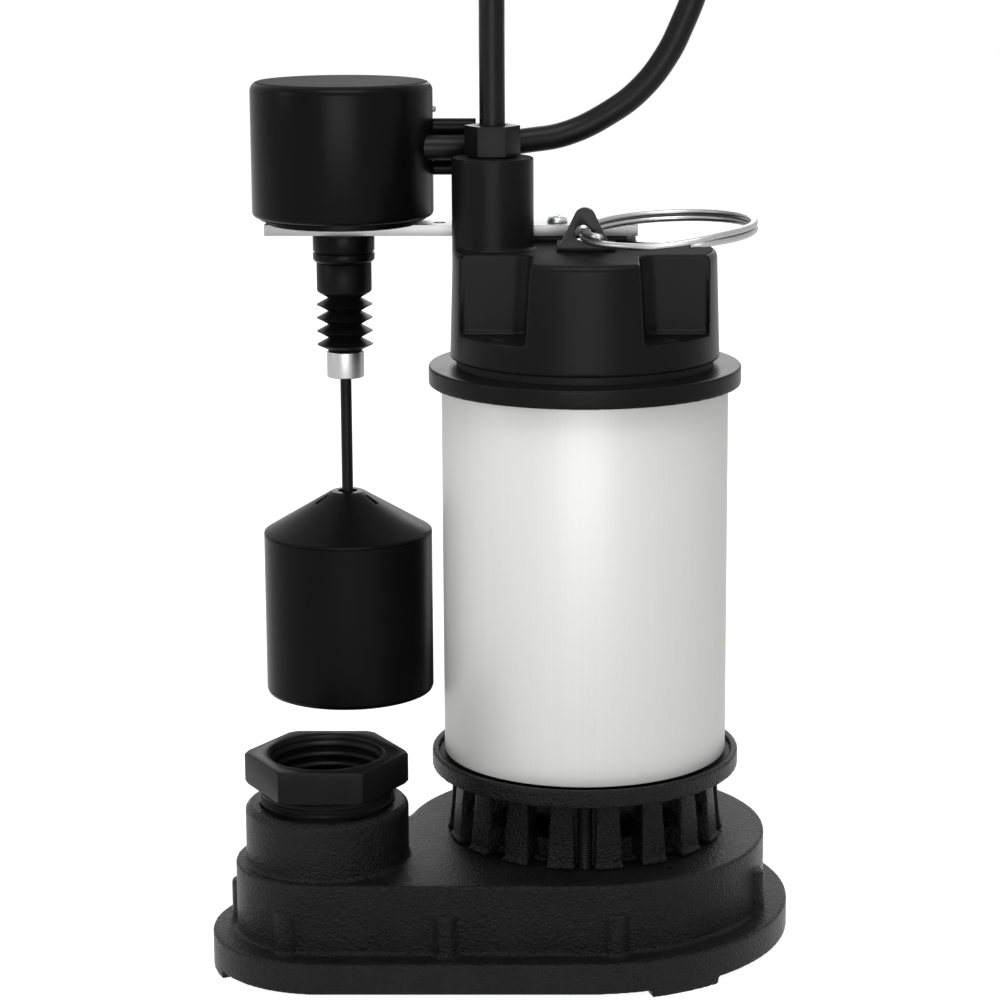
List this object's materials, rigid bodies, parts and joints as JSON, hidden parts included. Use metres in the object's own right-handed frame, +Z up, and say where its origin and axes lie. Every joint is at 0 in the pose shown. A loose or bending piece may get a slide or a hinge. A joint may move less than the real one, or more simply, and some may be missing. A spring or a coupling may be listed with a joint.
{
  "type": "submersible sump pump",
  "caption": "Upright submersible sump pump with cast volute, finned strainer, steel motor tube, top cap, lift ring and vertical float switch on a side bar.",
  "frame": {"origin": "centre of the pump's bounding box on the floor that its feet stand on", "axes": "+Z up, the front with the discharge at the left looks towards -Y"},
  "size_m": [0.251, 0.4169, 0.4835],
  "materials": {
    "cast_black": "grainy cast, satin paint",
    "cap_black": "smooth satin",
    "stainless": "lengthwise brushed",
    "bright_steel": "satin",
    "steel": "machined",
    "chrome_wire": "polished",
    "black_plastic": "glossy",
    "black_rubber": "matt",
    "cord_jacket": "satin",
    "plug_plastic": "satin",
    "dark_rod": "satin",
    "seal_ceramic": "ground face",
    "seal_carbon": "lapped",
    "laminations": "oiled sheet edges",
    "copper_winding": "varnished",
    "rotor_aluminium": "die cast",
    "capacitor_can": "smooth"
  },
  "bodies": {
    "pump": {"volute_casing": "cast_black", "base_plate": "cast_black", "base_gasket": "black_rubber", "base_screws": "steel", "motor_support": "cast_black", "support_screws": "steel", "seal_seat": "seal_ceramic", "discharge_adapter": "cast_black", "motor_tube": "stainless", "tube_seal_lower": "black_rubber", "tube_seal_upper": "black_rubber", "stator_core": "laminations", "windings_lower": "copper_winding", "windings_upper": "copper_winding", "lower_bearing_outer": "steel", "upper_bearing_outer": "steel", "upper_end_bell": "cast_black", "cap_gasket": "black_rubber", "top_cap": "cap_black", "tie_bolts": "steel", "capacitor": "capacitor_can", "gland_nut": "plug_plastic", "gland_grommet": "black_rubber", "power_cord": "cord_jacket", "power_cord_coil": "cord_jacket", "power_plug": "plug_plastic", "lift_ear": "cap_black", "lift_ear_screw": "steel", "switch_bracket": "bright_steel", "bracket_pad": "black_rubber", "bracket_screws": "bright_steel", "switch_housing": "black_plastic", "switch_base": "black_plastic", "switch_outlet": "black_plastic", "micro_switch": "black_plastic", "switch_locknut": "black_plastic", "bellows_boot": "black_rubber", "switch_cord": "cord_jacket", "switch_cord_coil": "cord_jacket", "switch_plug": "plug_plastic"},
    "rotor": {"shaft": "steel", "rotor_core": "laminations", "rotor_end_rings": "rotor_aluminium", "lower_bearing_inner": "steel", "upper_bearing_inner": "steel", "impeller": "cast_black", "impeller_nut": "steel", "seal_rotary": "seal_carbon", "seal_spring": "steel"},
    "lower_ball_cage": {"lower_bearing_balls": "steel"},
    "upper_ball_cage": {"upper_bearing_balls": "steel"},
    "rod": {"float_rod": "dark_rod", "boot_ferrule": "bright_steel", "rod_stop": "steel"},
    "float": {"float_shell": "black_plastic", "float_base": "black_plastic"},
    "ring": {"lift_ring": "chrome_wire"}
  },
  "joints": [
    {"name": "rotor_spin", "type": "hinge", "parent": "pump", "child": "rotor", "pos_m": [0.0355, 0, 0], "axis": [0, 0, 1], "continuous": true},
    {"name": "lower_cage_spin", "type": "hinge", "parent": "pump", "child": "lower_ball_cage", "pos_m": [0.0355, 0, 0], "axis": [0, 0, 1], "continuous": true},
    {"name": "upper_cage_spin", "type": "hinge", "parent": "pump", "child": "upper_ball_cage", "pos_m": [0.0355, 0, 0], "axis": [0, 0, 1], "continuous": true},
    {"name": "rod_slide", "type": "slide", "parent": "pump", "child": "rod", "axis": [0, 0, 1], "range_m": [0, 0.008], "deforming": ["bellows_boot"]},
    {"name": "float_slide", "type": "slide", "parent": "rod", "child": "float", "axis": [0, 0, 1], "range_m": [0, 0.045]},
    {"name": "ring_swing", "type": "hinge", "parent": "pump", "child": "ring", "pos_m": [0.0347, -0.01075, 0.3136], "axis": [0, -1, 0], "range_deg": [0, 100]}
  ]
}
